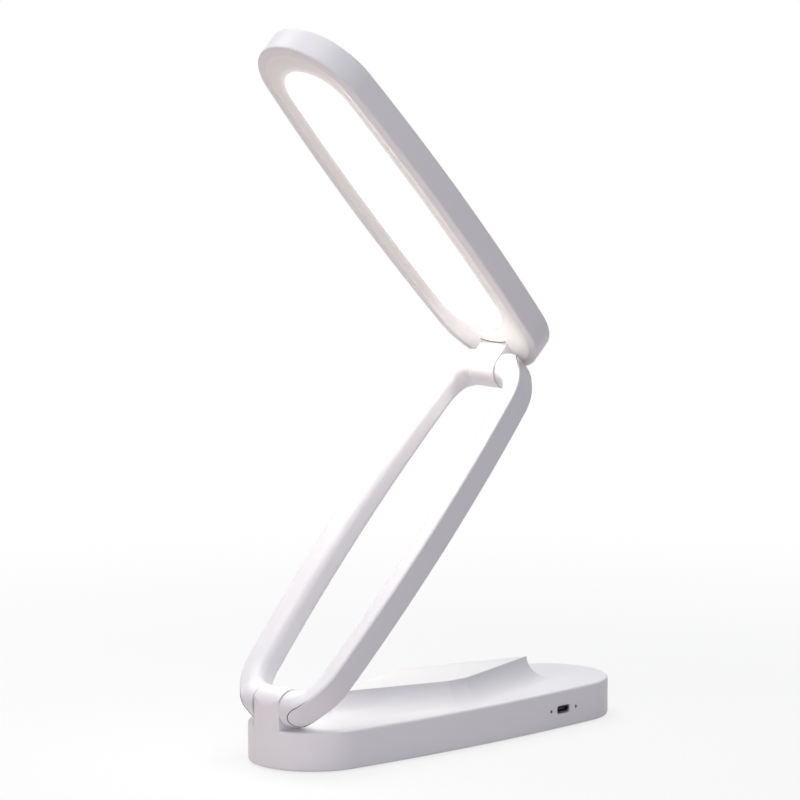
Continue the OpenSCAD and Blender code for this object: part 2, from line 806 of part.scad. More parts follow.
base_shell();
base_cover();
base_mat();
base_screws();
ballast_plate();
battery_cell();
battery_tabs();
control_board();
board_screws();
usb_socket();
usb_tongue();
charge_lights();
touch_plate();
touch_spring();
base_lead();
lower_washers();
lower_pin();
front_leg_upper();
front_leg_lower();
rear_leg_upper();
rear_leg_lower();
arm_screws();
arm_lead();
upper_washers();
upper_pin();
head_shell();
head_bezel();
head_screws();
diffuser();
reflector_tray();
led_board();
led_chips();
head_lead();
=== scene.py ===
import math

import numpy as np

import bpy
from mathutils import Matrix, Vector


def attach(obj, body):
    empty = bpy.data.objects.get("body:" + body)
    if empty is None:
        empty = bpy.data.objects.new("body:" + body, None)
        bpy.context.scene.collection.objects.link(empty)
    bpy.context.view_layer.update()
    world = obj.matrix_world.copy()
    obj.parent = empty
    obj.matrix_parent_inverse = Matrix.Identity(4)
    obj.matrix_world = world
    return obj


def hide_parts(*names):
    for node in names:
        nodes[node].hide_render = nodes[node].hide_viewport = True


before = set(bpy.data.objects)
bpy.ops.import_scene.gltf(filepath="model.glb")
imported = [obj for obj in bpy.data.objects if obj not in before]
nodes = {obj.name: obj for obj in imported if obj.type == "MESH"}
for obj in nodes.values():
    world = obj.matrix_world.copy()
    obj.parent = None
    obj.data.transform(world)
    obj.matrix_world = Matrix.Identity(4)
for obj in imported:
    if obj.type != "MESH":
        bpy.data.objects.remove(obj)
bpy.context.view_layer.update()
scene = bpy.context.scene

# ---------------------------------------------------------------- camera

# the photograph's viewpoint, fitted to the outlines of base, ring and head
AZIMUTH, ELEVATION, DISTANCE = math.radians(-43.309), math.radians(7.830), 1.7701
target = Vector((-0.0180, 0.0, 0.13947))
back = Vector((math.sin(AZIMUTH) * math.cos(ELEVATION),
               -math.cos(AZIMUTH) * math.cos(ELEVATION), math.sin(ELEVATION)))
camera_data = bpy.data.cameras.new("camera")
camera_data.lens = 199.40
camera_data.sensor_width = 36.0
camera_data.clip_end = 50.0
camera = bpy.data.objects.new("camera", camera_data)
camera.location = target + DISTANCE * back
camera.rotation_euler = (-back).to_track_quat("-Z", "Y").to_euler()
scene.collection.objects.link(camera)
scene.camera = camera


# ---------------------------------------------------------------- materials

def new_material(name):
    """A material with its node tree emptied but for the surface shader and the output."""
    mat = bpy.data.materials.new(name)
    mat.use_nodes = True
    tree = mat.node_tree
    tree.nodes.clear()
    out = tree.nodes.new("ShaderNodeOutputMaterial")
    bsdf = tree.nodes.new("ShaderNodeBsdfPrincipled")
    tree.links.new(bsdf.outputs["BSDF"], out.inputs["Surface"])
    return mat, tree, bsdf, out


def node(tree, kind, values=None, links=None, **fields):
    """One node: fields are its settings, values its sockets and links what feeds them."""
    made = tree.nodes.new(kind)
    for key, value in fields.items():
        setattr(made, key, value)
    for key, value in (values or {}).items():
        made.inputs[key].default_value = value
    for key, source in (links or {}).items():
        tree.links.new(source, made.inputs[key])
    return made


def ramp(tree, source, stops):
    """A colour ramp over source with (position, colour) stops."""
    made = node(tree, "ShaderNodeValToRGB", links={"Fac": source})
    for i, (at, colour) in enumerate(stops):
        stop = made.color_ramp.elements[i] if i < 2 else made.color_ramp.elements.new(at)
        stop.position = at
        stop.color = (*colour, 1.0)
    return made.outputs["Color"]


def grey_ramp(tree, source, low, high):
    """A value that runs from low to high as source runs from 0 to 1."""
    return node(tree, "ShaderNodeMapRange", {"From Min": 0.0, "From Max": 1.0, "To Min": low,
                                             "To Max": high}, {"Value": source}).outputs["Result"]


def coords(tree, scale=(1.0, 1.0, 1.0)):
    """The piece's own coordinates, in metres, stretched by scale."""
    where = node(tree, "ShaderNodeTexCoord").outputs["Object"]
    return node(tree, "ShaderNodeMapping", {"Scale": scale}, {"Vector": where}).outputs["Vector"]


def noise(tree, vector, scale, detail=3.0, rough=0.5):
    """Fractal noise between 0 and 1, with scale cells to the metre."""
    return node(tree, "ShaderNodeTexNoise", {"Scale": scale, "Detail": detail, "Roughness": rough},
                {"Vector": vector}).outputs["Fac"]


def bump(tree, height, distance, strength=1.0, normal=None):
    """The normal that a relief of the given height gives, on top of another normal."""
    links = {"Height": height}
    if normal is not None:
        links["Normal"] = normal
    return node(tree, "ShaderNodeBump", {"Distance": distance, "Strength": strength},
                links).outputs["Normal"]


def plastic(name, base, rough=(0.34, 0.44), grain=0.000018, edge=0.0004, tint=0.985):
    """Moulded plastic: fine spark-eroded grain, faint cloudy tone, slightly polished patches.

    rough is the range of the gloss, grain the depth of the relief and edge the radius, in metres,
    by which sharp edges are shown rounded.
    """
    mat, tree, bsdf, _ = new_material(name)
    at = coords(tree)
    cloud = noise(tree, at, scale=26.0, detail=4.0, rough=0.6)
    patches = noise(tree, at, scale=60.0, detail=5.0, rough=0.65)
    fine = noise(tree, at, scale=2600.0, detail=2.0, rough=0.6)
    dark = tuple(c * tint for c in base)
    tree.links.new(ramp(tree, cloud, [(0.32, dark), (0.68, base)]), bsdf.inputs["Base Color"])
    tree.links.new(grey_ramp(tree, patches, *rough), bsdf.inputs["Roughness"])
    soft = node(tree, "ShaderNodeBevel", {"Radius": edge}, samples=4).outputs["Normal"]
    tree.links.new(bump(tree, fine, grain, 0.5, soft), bsdf.inputs["Normal"])
    bsdf.inputs["IOR"].default_value = 1.52
    return mat


def metal(name, base, rough=(0.22, 0.38), along=(1.0, 1.0, 40.0), streak=420.0, depth=0.00001):
    """Drawn or turned metal: fine streaks across one direction in tone, gloss and relief."""
    mat, tree, bsdf, _ = new_material(name)
    lines = noise(tree, coords(tree, along), streak, detail=3.0, rough=0.6)
    dark = tuple(c * 0.82 for c in base)
    tree.links.new(ramp(tree, lines, [(0.3, dark), (0.7, base)]), bsdf.inputs["Base Color"])
    tree.links.new(grey_ramp(tree, lines, *rough), bsdf.inputs["Roughness"])
    tree.links.new(bump(tree, lines, depth, 0.4), bsdf.inputs["Normal"])
    bsdf.inputs["Metallic"].default_value = 1.0
    return mat


def dress(material, *names):
    """Give CAD nodes a material."""
    for each in names:
        nodes[each].data.materials.clear()
        nodes[each].data.materials.append(material)


def glow_ramp(tree, colour):
    """Emission colour of a piece, from black to colour as its points' "glow" runs from 0 to 1."""
    level = node(tree, "ShaderNodeAttribute", attribute_name="glow").outputs["Fac"]
    return ramp(tree, level, [(0.0, (0.0, 0.0, 0.0)), (1.0, colour)])


EDGE = 0.0001                                   # shown edge radius of the small parts
shell = plastic("shell_white", (0.855, 0.85, 0.88))
dress(shell, "base_shell", "base_cover", "front_leg_upper", "front_leg_lower", "rear_leg_upper",
      "rear_leg_lower")
head_white = plastic("head_white", (0.86, 0.845, 0.865))
dress(head_white, "head_shell", "head_bezel")
steel = metal("screw_steel", (0.62, 0.63, 0.65))
dress(steel, "base_screws", "arm_screws", "head_screws", "board_screws", "lower_pin", "upper_pin",
      "touch_spring")
dress(metal("socket_steel", (0.50, 0.50, 0.51), (0.28, 0.42)), "usb_socket")
dress(metal("nickel_strip", (0.70, 0.68, 0.63)), "battery_tabs")
dress(metal("copper_foil", (0.74, 0.45, 0.28)), "touch_plate")
dress(metal("ballast_iron", (0.26, 0.27, 0.29), (0.5, 0.72), along=(1.0, 1.0, 1.0), streak=90.0,
            depth=0.00006), "ballast_plate")
tongue_black = plastic("tongue_black", (0.030, 0.030, 0.034), (0.4, 0.55), edge=EDGE)
dress(tongue_black, "usb_tongue")
dress(plastic("washer_grey", (0.66, 0.65, 0.67), (0.42, 0.55), edge=EDGE),
      "lower_washers", "upper_washers")
dress(plastic("wire_red", (0.40, 0.03, 0.02), (0.3, 0.42), edge=EDGE),
      "base_lead", "arm_lead", "head_lead")
dress(plastic("cell_wrap", (0.03, 0.15, 0.34), (0.16, 0.26), edge=2 * EDGE), "battery_cell")
dress(plastic("board_green", (0.02, 0.13, 0.05), (0.3, 0.4), edge=EDGE), "control_board")
dress(plastic("led_board_white", (0.78, 0.79, 0.80), (0.3, 0.42), edge=EDGE), "led_board")
dress(plastic("tray_white", (0.86, 0.86, 0.86), (0.35, 0.5), edge=EDGE), "reflector_tray")
dress(plastic("phosphor", (0.82, 0.70, 0.20), (0.35, 0.5), edge=EDGE), "led_chips")
dress(plastic("lens_clear", (0.10, 0.105, 0.11), (0.1, 0.2), edge=EDGE), "charge_lights")

# foot mat: soft rubber with a small cast pebble
mat, tree, bsdf, _ = new_material("mat_rubber")
at = coords(tree)
cells = node(tree, "ShaderNodeTexVoronoi", {"Scale": 700.0}, {"Vector": at}).outputs["Distance"]
tree.links.new(ramp(tree, noise(tree, at, 120.0, 4.0),
                    [(0.3, (0.012, 0.012, 0.013)), (0.7, (0.022, 0.022, 0.024))]),
               bsdf.inputs["Base Color"])
tree.links.new(grey_ramp(tree, cells, 0.62, 0.82), bsdf.inputs["Roughness"])
tree.links.new(bump(tree, cells, 0.0002, 0.6), bsdf.inputs["Normal"])
dress(mat, "base_mat")

# ---------------------------------------------------------------- places and sizes, in millimetres

MM = 0.001
LEN, WID, END_R = 186.0, 57.94, 26.0            # plan of the ring and the head
PIVOT_IN, SPAN = 8.0, 170.0                     # from their ends to the pivots, and between pivots
HALF, THICK, LEG = WID / 2, 6.0, 9.2            # the ring: half width, half thickness, leg width
SIDE_R = ((LEN / 2 - END_R) ** 2 + HALF ** 2 - END_R ** 2) / (WID - 2 * END_R)   # bow of the sides
LOBE_R, LOBE_Y = 7.08, 7.95                     # round lobes at the pivots: radius, inner face
LOBE_END, BOSS_END = 12.0, 15.5                 # where they start and stop to draw in
BOSS_SINK = 0.3                                 # how far under the leg's face they then are
END_EDGE, OUTER_EDGE, BOSS_EDGE = 3.0, 1.3, 2.5     # edge radii: slab's ends, outer side, bosses,
INNER_UP, INNER_DOWN, LOBE_EDGE = 4.9, 2.6, 0.35    # inner side above and below, and lobe
SCREW_X, SCREW_IN = 55.0, 5.5                   # screw heads: from mid-leg and in from its outside
SCREW_R, SCREW_DEEP = 1.65, 1.2
SEAM_R, SEAM_HIGH, SEAM_TURN = 0.17, 5.3, 36.6  # side panel's line: radius, half height, degrees
NECK_HALF, NECK_X = 7.35, 7.08                  # neck from head to hinge: half width and front
FOOT_OUT, FOOT_BOW, FOOT_HIGH = 0.35, 0.022, 2.6    # its flared foot: step, bow and height
PORT_X, PORT_Z, PORT_WID, PORT_HIGH = 48.3, 8.3, 7.5, 2.7   # charging port: middle and size
PORT_DEEP, PORT_SINK = 6.0, 0.9                 # its depth, and how far its front lies in
TONGUE_WID, TONGUE_HIGH = 4.8, 0.62
HEAD_Z, RIM = -7.9, 4.2                         # the head's face, and its rim's width
BEZEL_TOP, BEZEL_LOW = -8.4, -9.6
WIN_LEN, WIN_WID, WIN_R, WIN_START = 150.5, 37.4, 16.8, 14.0    # light window, from the pivot
SHARP = math.radians(50.0)                      # edges that turn more are shown sharp

arm_frame = (Matrix.Translation((-0.0837, 0.0, 0.0246)) @
             Matrix.Rotation(math.radians(-46.2), 4, "Y"))
head_frame = (arm_frame @ Matrix.Translation((SPAN * MM, 0.0, 0.0)) @
              Matrix.Rotation(math.radians(-87.0), 4, "Y"))


def make(name, verts, faces, body, material, slot, place=Matrix.Identity(4)):
    """A smooth mesh piece from points in millimetres of the given frame, riding on a body."""
    mesh = bpy.data.meshes.new(name)
    mesh.from_pydata([place @ (Vector(v) * MM) for v in verts], [], faces)
    for face in mesh.polygons:
        face.use_smooth = True
    mesh.materials.append(material)
    mesh.update()
    made = bpy.data.objects.new(name, mesh)
    scene.collection.objects.link(made)
    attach(made, body)
    return made


def loft(rings):
    """Points and quads that join closed rings of equal length, one after another."""
    count = len(rings[0])
    verts = [tuple(p) for ring in rings for p in ring]
    faces = []
    for i in range(len(rings) - 1):
        a, b = i * count, (i + 1) * count
        faces += [(a + j, a + (j + 1) % count, b + (j + 1) % count, b + j) for j in range(count)]
    return verts, faces


def capped(rings):
    """A loft whose first and last ring are closed with one face each."""
    verts, faces = loft(rings)
    count, last = len(rings[0]), len(verts) - len(rings[0])
    return verts, faces + [tuple(range(count))[::-1], tuple(last + j for j in range(count))]


def tube(path, radii, sides=10):
    """Closed tube along a path of points in millimetres, with a radius at each."""
    pts = [Vector(p) for p in path]
    rings, up = [], Vector((0.0, 0.0, 1.0))
    for i, p in enumerate(pts):
        along = (pts[min(i + 1, len(pts) - 1)] - pts[max(i - 1, 0)]).normalized()
        steady = up if abs(up.dot(along)) < 0.95 else Vector((1.0, 0.0, 0.0))
        across = steady.cross(along).normalized()
        up = along.cross(across)
        rings.append([tuple(p + radii[i] * (math.cos(a) * across + math.sin(a) * up))
                      for a in np.linspace(0.0, 2 * math.pi, sides, endpoint=False)])
    return capped(rings)


def cut(made, verts, faces):
    """Take a closed mesh, in the piece's own frame, out of a piece."""
    mesh = bpy.data.meshes.new(made.name + "_cut")
    mesh.from_pydata(verts, [], faces)
    tool = bpy.data.objects.new(mesh.name, mesh)
    scene.collection.objects.link(tool)
    change = made.modifiers.new("recess", "BOOLEAN")
    change.operation, change.solver, change.object = "DIFFERENCE", "EXACT", tool
    graph = bpy.context.evaluated_depsgraph_get()
    done = bpy.data.meshes.new_from_object(made.evaluated_get(graph))
    made.modifiers.clear()
    made.data = done
    bpy.data.objects.remove(tool)
    done.set_sharp_from_angle(angle=math.radians(40.0))


# ---------------------------------------------------------------- legs of the ring

def fillet_cut(a, b, r):
    """Distance to what is inside both shapes, with their edge rounded by radius r."""
    corner = np.hypot(np.maximum(a + r, 0.0), np.maximum(b + r, 0.0))
    return np.minimum(np.maximum(a, b), -r) + corner


def fillet_join(a, b, r):
    """Distance to two shapes joined, with their corner filled by radius r."""
    return -fillet_cut(-a, -b, r)


def plan_distance(x, y):
    """Distance outside the ring's outline, which has round ends and slightly bowed sides."""
    along = np.abs(x - SPAN / 2)
    end = np.hypot(along - (LEN / 2 - END_R), y) - END_R
    side = np.hypot(along, np.abs(y) + SIDE_R - HALF) - SIDE_R
    turn = math.atan2(SIDE_R - HALF, LEN / 2 - END_R)
    past = (along - (LEN / 2 - END_R)) * math.sin(turn)
    return np.where(np.abs(y) * math.cos(turn) > past, side, end)


def leg_distance(x, y, z):
    """Distance outside one leg: a slab with a round inner side and a round boss at each pivot."""
    x = np.where(x > SPAN / 2, SPAN - x, x)
    outer = plan_distance(x, y)
    inner = -(outer + LEG)
    slab = fillet_cut(np.abs(z) - THICK, np.hypot(np.minimum(x, 0.0), z) - LOBE_R, END_EDGE)
    round_in = np.where(z > 0.0, fillet_cut(slab, inner, INNER_UP),
                        fillet_cut(slab, inner, INNER_DOWN))
    leg = np.maximum(fillet_cut(slab, outer, OUTER_EDGE), round_in)
    draw = np.clip((y - LOBE_END) / (BOSS_END - LOBE_END), 0.0, 1.0)
    boss = np.hypot(x, z) - (LOBE_R - draw * draw * (LOBE_R - THICK + BOSS_SINK))
    boss = fillet_cut(fillet_cut(boss, outer, OUTER_EDGE), y - BOSS_END - 1.0, BOSS_EDGE)
    limit = np.hypot(np.minimum(x, 0.0), z) - LOBE_R - 0.1      # the join swells no further
    leg = np.maximum(fillet_join(leg, boss, END_EDGE), limit)
    return fillet_cut(leg, LOBE_Y - y, LOBE_EDGE)


def leg_spine():
    """Centres of the sections along half a leg, with the direction in plan that each one faces.

    They start on the lobe's inner face, go round the ring's end and then along its bowed side. The
    direction turns evenly up to turned, so that the sections on the lobe don't cross.
    """
    mid_r, centre, turned = END_R - LEG / 2, END_R - PIVOT_IN, math.radians(70.0)
    rows = [(0.0, LOBE_Y + y) for y in (0.0, 0.06, 0.16, 0.3, 0.5, 0.8, 1.3, 1.9, 2.5, 3.2)]
    start = math.asin((LOBE_Y + 4.1) / mid_r)
    for phi in np.linspace(start, math.radians(88.0), 42):
        rows.append((centre - mid_r * math.cos(phi), mid_r * math.sin(phi)))
    run = np.concatenate([[0.0], np.cumsum(np.hypot(*np.diff(np.array(rows), axis=0).T))])
    full = next(r for r, p in zip(run, rows) if math.atan2(p[1], centre - p[0]) >= turned)
    spine = []
    for r, (x, y) in zip(run, rows):
        natural = math.atan2(y, centre - x)
        angle = min(natural, turned * r / full) if r < full else natural
        spine.append((x, y, -math.cos(angle), math.sin(angle)))
    for x in np.linspace(spine[-1][0], SPAN / 2, 34)[1:]:
        lean = math.asin((x - SPAN / 2) / SIDE_R)
        y = (SIDE_R - LEG / 2) * math.cos(lean) - (SIDE_R - HALF)
        spine.append((x, y, math.sin(lean), math.cos(lean)))
    return spine


def leg_angles():
    """Directions round a section, closer together where the crisp outer edges are."""
    points, extra, spread = 96, 5.0, 0.16
    even = np.linspace(0.0, 2 * math.pi, 2000, endpoint=False)
    edge = math.atan2(THICK, LEG / 2)
    weight = (1.0 + extra * np.exp(-((even - edge) / spread) ** 2) +
              extra * np.exp(-((even - 2 * math.pi + edge) / spread) ** 2))
    total = np.cumsum(weight)
    return np.interp(np.arange(points) / points * total[-1], total, even)


def leg_rings(side):
    """Sections of a whole leg: points where rays from each section's centre leave the leg."""
    half = leg_spine()
    spine = half + [(SPAN - x, y, -dx, dy) for x, y, dx, dy in half[-2::-1]]
    x0, y0, dx, dy = (np.array(c)[:, None] for c in zip(*spine))
    theta = leg_angles()[None, :]
    near = np.zeros((len(spine), theta.shape[1]))
    far = np.full(near.shape, 0.5)

    def at(t):
        u = t * np.cos(theta)
        return x0 + u * dx, y0 + u * dy, t * np.sin(theta)

    for _ in range(40):                          # step out to the first crossing, then halve
        inside = leg_distance(*at(far)) < 0.0
        near = np.where(inside, far, near)
        far = np.where(inside, far + 0.4, far)
    for _ in range(24):
        mid = (near + far) / 2
        inside = leg_distance(*at(mid)) < 0.0
        near, far = np.where(inside, mid, near), np.where(inside, far, mid)
    x, y, z = at((near + far) / 2)
    return np.stack([x, side * y, z], axis=-1)


def circle(x, y, z, r, sides=32):
    """Loop of points round (x, y) at height z of the arm's frame, in metres of the part."""
    return [tuple(arm_frame @ (Vector((x + r * math.cos(a), y + r * math.sin(a), z)) * MM))
            for a in np.linspace(0.0, 2 * math.pi, sides, endpoint=False)]


def leg(name, side, *stands_for):
    """One leg of the ring, on the side that side's sign gives, with its screw recesses."""
    rings = leg_rings(side)
    verts, faces = loft(rings)
    count = rings.shape[1]
    for ring, flip in ((0, False), (len(rings) - 1, True)):
        centre = len(verts)
        verts.append(tuple(rings[ring].mean(axis=0)))
        faces += [(ring * count + (j + 1) % count, ring * count + j, centre)[::-1 if flip else 1]
                  for j in range(count)]
    if side > 0:
        faces = [f[::-1] for f in faces]
    made = make(name, verts, faces, "arm", leg_white, "shell", arm_frame)
    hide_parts(*stands_for)
    holes_v, holes_f = [], []
    for along in (-SCREW_X, 0.0, SCREW_X):          # recesses for the screw heads in its back face
        y = side * (math.sqrt(SIDE_R ** 2 - along ** 2) - (SIDE_R - HALF) - SCREW_IN)
        x, first = SPAN / 2 + along, len(holes_v)
        verts, faces = capped([circle(x, y, -THICK - 1.0, SCREW_R),
                               circle(x, y, -THICK + SCREW_DEEP, SCREW_R)])
        holes_v += verts
        holes_f += [tuple(first + j for j in face) for face in faces]
    cut(made, holes_v, holes_f)


def panel_seam(name, side, upper):
    """Fine groove round the end of the panel in a leg's outer wall, drawn as a thin dark tube:
    painted shade of the groove, which is not cut.
    """
    path, middle = [], math.radians(SEAM_TURN)
    turn = np.linspace(0.0, math.pi, 33)[1:-1]
    for s, z in ([(6.5 - i, -SEAM_HIGH) for i in range(7)] +
                 [(-SEAM_HIGH * math.sin(a), -SEAM_HIGH * math.cos(a)) for a in turn] +
                 [(i - 0.5, SEAM_HIGH) for i in range(1, 8)]):
        phi = middle + s / END_R
        near, far = 20.0, 27.0                       # the leg's outer wall lies between these radii
        for _ in range(30):
            t = (near + far) / 2
            x, y = END_R - PIVOT_IN - t * math.cos(phi), t * math.sin(phi)
            if leg_distance(np.array([x]), np.array([y]), np.array([z]))[0] < 0.0:
                near = t
            else:
                far = t
        path.append((SPAN - x if upper else x, side * y, z))
    # the line runs out over six points at each end
    fade = [min(1.0, (min(i, len(path) - 1 - i) + 0.3) / 6.0) for i in range(len(path))]
    verts, faces = tube(path, [SEAM_R * f for f in fade])
    make(name, verts, faces, "arm", seam_painted_shade, "shell", arm_frame)


def outline_ring(length, width, r, inset, z):
    """Points of a round-ended, slightly bowed outline drawn in by inset, once round at height z."""
    end_steps, side_steps = 44, 130
    big = ((length / 2 - r) ** 2 + (width / 2) ** 2 - r * r) / (width - 2 * r)
    turn = math.atan2(big - width / 2, length / 2 - r)
    points = []
    for side in (1, -1):
        for a in np.linspace(-turn, turn, end_steps, endpoint=False):
            points.append((side * (length / 2 - r + (r - inset) * math.cos(a)),
                           side * (r - inset) * math.sin(a), z))
        for a in np.linspace(turn, math.pi - turn, side_steps, endpoint=False):
            points.append((side * (big - inset) * math.cos(a),
                           side * ((big - inset) * math.sin(a) - big + width / 2), z))
    return points


def ring_of(kind, inset, z):
    """A loop of the head's outline ("head") or the window's ("win"), placed along the head."""
    size, middle = {"head": ((LEN, WID, END_R), LEN / 2 - PIVOT_IN),
                    "win": ((WIN_LEN, WIN_WID, WIN_R), WIN_START + WIN_LEN / 2)}[kind]
    return [(x + middle, y, z) for x, y, z in outline_ring(*size, inset, z)]


leg_white = plastic("leg_white", (0.815, 0.81, 0.84), edge=0.0)
leg("front_leg", -1, "front_leg_upper", "front_leg_lower")
leg("rear_leg", 1, "rear_leg_upper", "rear_leg_lower")
# near-black tubes on the legs and at the neck's foot: painted shade of fine grooves and joints
seam_painted_shade = plastic("seam_painted_shade", (0.07, 0.065, 0.065), (0.6, 0.7), edge=0.0)
for label, side in (("front", -1), ("rear", 1)):
    panel_seam(label + "_seam_low", side, False)
    panel_seam(label + "_seam_high", side, True)

# ---------------------------------------------------------------- bezel and light window

# White bezel with a painted glow: the emission set by its points' "glow" stands in for the window's
# light falling on the frame, which is no lamp
bezel_white_painted_glow = plastic("bezel_white_painted_glow", (0.88, 0.85, 0.835), (0.30, 0.38), edge=0.0)
tree = bezel_white_painted_glow.node_tree
bsdf = tree.nodes["Principled BSDF"]
tree.links.new(glow_ramp(tree, (0.93, 1.0, 1.0)), bsdf.inputs["Emission Color"])
bsdf.inputs["Emission Strength"].default_value = 0.3


def between(a, b, t):
    """A loop of points that lies the share t of the way from loop a to loop b."""
    return [tuple(p + (q - p) * t for p, q in zip(u, v)) for u, v in zip(a, b)]


def smooth(t):
    """0 below 0, 1 above 1 and an even rise between."""
    t = np.clip(t, 0.0, 1.0)
    return t * t * (3.0 - 2.0 * t)


def set_glow(made, levels):
    """Store how brightly each point of a piece glows, for the emission colour."""
    made.data.attributes.new("glow", "FLOAT", "POINT").data.foreach_set("value", levels)


# The bezel's loops, from the shell's rim inwards, each with a painted glow level: emission that
# stands in for the window's light falling on the frame there. (inset from the rim, height over the
# head's face): a low rounded bead over the seam.
BEAD = ((0.03, BEZEL_LOW - HEAD_Z), (0.03, -0.10), (-0.62, -0.01), (-0.60, 0.02), (-0.50, 0.05),
        (-0.35, 0.075), (-0.15, 0.09), (0.08, 0.09), (0.30, 0.07), (0.55, 0.03), (0.80, -0.02),
        (1.05, -0.06))
# (share of the way from the bead to the window's edge, painted glow): a plate that falls gently
PLATE = ((0.15, 0.0), (0.35, 0.01), (0.55, 0.03), (0.75, 0.06), (0.9, 0.09))
PLATE_IN, PLATE_UP, PLATE_PAINTED_GLOW = 3.0, 0.05, 0.11    # its inner edge, outside the window's
# (distance outside the window, drop under the bezel's top, painted glow): the rounded edge
LIP = ((2.5, 0.00, 0.13), (2.0, 0.07, 0.17), (1.5, 0.14, 0.24), (1.0, 0.22, 0.34),
       (0.6, 0.28, 0.44), (0.3, 0.33, 0.54), (0.12, 0.38, 0.62), (0.02, 0.46, 0.66),
       (0.0, 0.6, 0.7), (0.0, 1.2, 0.7))
LOW_PAINTED_GLOW = 0.62                                     # painted glow over the frame's low end, by the neck

profile = [ring_of("head", RIM + inset, HEAD_Z + up) for inset, up in BEAD]
outer, inner = profile[-1], ring_of("win", -PLATE_IN, BEZEL_TOP + PLATE_UP)
profile += [between(outer, inner, t) for t, _ in PLATE] + [inner]
profile += [ring_of("win", -out, BEZEL_TOP - drop) for out, drop, _ in LIP]
light = [0.0] * len(BEAD) + [level for _, level in PLATE] + [PLATE_PAINTED_GLOW] + [row[2] for row in LIP]
glow = []
for ring, level in zip(profile, light):
    for x, y, _ in ring:        # the painted glow low rises towards the neck, but not on the very end and the front
        low = smooth((40.0 - x) / 26.0) * smooth((x + 4.0) / 8.0) * smooth((y + 24.0) / 10.0)
        glow.append(min(1.0, level + LOW_PAINTED_GLOW * low))
bezel = make("bezel_ring", *loft(profile), "head", bezel_white_painted_glow, "shell", head_frame)
set_glow(bezel, glow)
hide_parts("head_bezel")

# The window: a shallow pillow of opal sheet, whose turned-down edge carries less light.
# (inset, height, light) of its loops
PILLOW = ((-0.5, BEZEL_LOW - 0.3, 0.0), (0.03, BEZEL_LOW, 0.0), (0.05, -9.10, 0.004),
          (0.12, -8.90, 0.008), (0.28, -8.76, 0.014), (0.5, -8.66, 0.024), (0.8, -8.59, 0.045),
          (1.2, -8.53, 0.10), (1.7, -8.49, 0.25), (2.4, -8.46, 0.6), (3.2, -8.44, 1.0),
          (6.0, -8.42, 1.0), (10.0, -8.41, 1.0), (14.0, -8.40, 1.0), (16.4, -8.40, 1.0))
verts, faces = loft([ring_of("win", inset, z) for inset, z, _ in PILLOW])
count = len(verts) // len(PILLOW)
faces.append(tuple(len(verts) - count + j for j in range(count)))
mat, tree, bsdf, _ = new_material("window_opal")
at = coords(tree)
tree.links.new(ramp(tree, noise(tree, at, 30.0, 3.0),
                    [(0.3, (0.86, 0.85, 0.83)), (0.7, (0.89, 0.88, 0.86))]),
               bsdf.inputs["Base Color"])
bsdf.inputs["Roughness"].default_value = 0.32
tree.links.new(bump(tree, noise(tree, at, 1800.0, 2.0), 0.00001, 0.4), bsdf.inputs["Normal"])
tree.links.new(glow_ramp(tree, (1.0, 0.93, 0.84)), bsdf.inputs["Emission Color"])
bsdf.inputs["Emission Strength"].default_value = 15.0
window = make("light_window", verts, faces, "head", mat, "diffuser", head_frame)
set_glow(window, [PILLOW[i // count][2] for i in range(len(verts))])
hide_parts("diffuser")


def foot(y):
    """How far the neck's flared foot reaches on the bezel, at y across it."""
    return NECK_X + FOOT_OUT + FOOT_BOW * y * y


# the neck's foot, with a fine dark tube where it meets the bezel: painted shadow of the joint
across = np.linspace(-NECK_HALF, NECK_HALF, 29)
rows = []
for y in across:
    row = [(NECK_X - 0.6, y, BEZEL_TOP - 0.3), (NECK_X - 0.6, y, BEZEL_TOP + 3.0)]
    for t in np.linspace(0.0, 1.0, 12):
        flare = 1 - math.sqrt(max(0.0, 1 - t * t)) if t < 1 else 1.0
        row.append((NECK_X + (foot(y) - NECK_X) * flare, y,
                    BEZEL_TOP + FOOT_HIGH - (FOOT_HIGH - 0.05) * t))
    row.append((foot(y), y, BEZEL_TOP - 0.3))
    rows.append(row)
apron = make("neck_foot", *capped(rows), "head", head_white, "shell", head_frame)
apron.data.set_sharp_from_angle(angle=SHARP)
line = tube([(foot(y) + 0.02, y, BEZEL_TOP + 0.17) for y in across], [0.16] * len(across))
make("neck_seam", *line, "head", seam_painted_shade, "shell", head_frame)

# ---------------------------------------------------------------- charging port

CORNER_STEPS = 10


def rounded(width, high, r, y, steps=CORNER_STEPS):
    """Loop of a round-cornered opening in the base's front wall, at depth y."""
    loop = []
    for cx, cz, start in ((1, 1, 0.0), (-1, 1, 0.5), (-1, -1, 1.0), (1, -1, 1.5)):
        for a in np.linspace(start * math.pi, (start + 0.5) * math.pi, steps):
            loop.append((PORT_X + cx * (width / 2 - r) + r * math.cos(a), y,
                         PORT_Z + cz * (high / 2 - r) + r * math.sin(a)))
    return loop


port_y = -(math.sqrt(SIDE_R ** 2 - PORT_X ** 2) - (SIDE_R - HALF)) + PORT_SINK
# steel darkened far below the socket's own: a steel colour with painted shade of the narrow port's
# recess
port_steel_painted_shade = metal("port_steel_painted_shade", (0.16, 0.16, 0.17), (0.35, 0.5))
